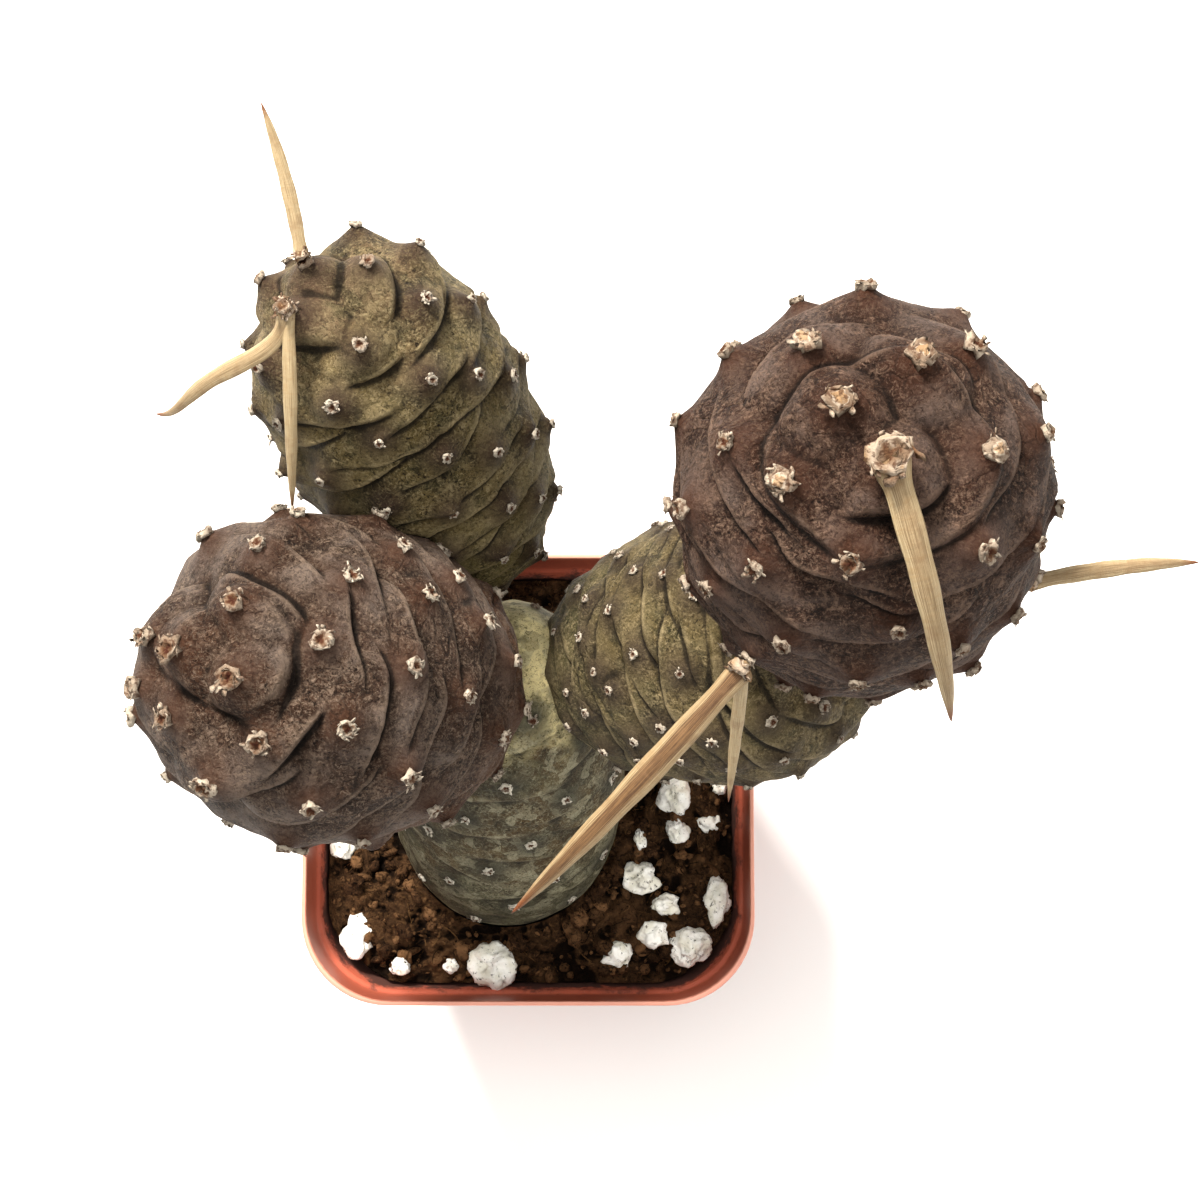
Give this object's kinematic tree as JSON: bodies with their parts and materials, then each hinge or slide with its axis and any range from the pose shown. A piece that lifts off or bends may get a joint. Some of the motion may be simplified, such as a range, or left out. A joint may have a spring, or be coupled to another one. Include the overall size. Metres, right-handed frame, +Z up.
{
  "type": "potted pine cone cactus",
  "caption": "Clump of plump ovoid cactus segments like pine cones, with woolly areoles and papery spines, growing from potting mix in a square tapered plastic pot.",
  "frame": {"origin": "middle of the flat underside of the pot", "axes": "+Z up out of the pot, +Y towards the segments that lean back, +X towards the tall segment on the right"},
  "size_m": [0.1249, 0.1107, 0.1824],
  "materials": {
    "pot": "matte",
    "soil": "rough",
    "stem": "matte",
    "spine": "matte",
    "perlite": "rough"
  },
  "bodies": {
    "root": {"pot": "pot", "soil": "soil", "stem_base": "stem", "stem_right_lower": "stem", "stem_right_upper": "stem", "stem_front_left": "stem", "stem_back_left": "stem", "spine_1": "spine", "spine_2": "spine", "spine_3": "spine", "spine_4": "spine", "spine_5": "spine", "spine_6": "spine", "spine_7": "spine", "perlite_1": "perlite", "perlite_2": "perlite", "perlite_3": "perlite", "perlite_4": "perlite", "perlite_5": "perlite", "perlite_6": "perlite", "perlite_7": "perlite", "perlite_8": "perlite", "perlite_9": "perlite", "perlite_10": "perlite", "perlite_11": "perlite", "perlite_12": "perlite", "perlite_13": "perlite", "perlite_14": "perlite", "perlite_15": "perlite", "perlite_16": "perlite"}
  },
  "joints": []
}
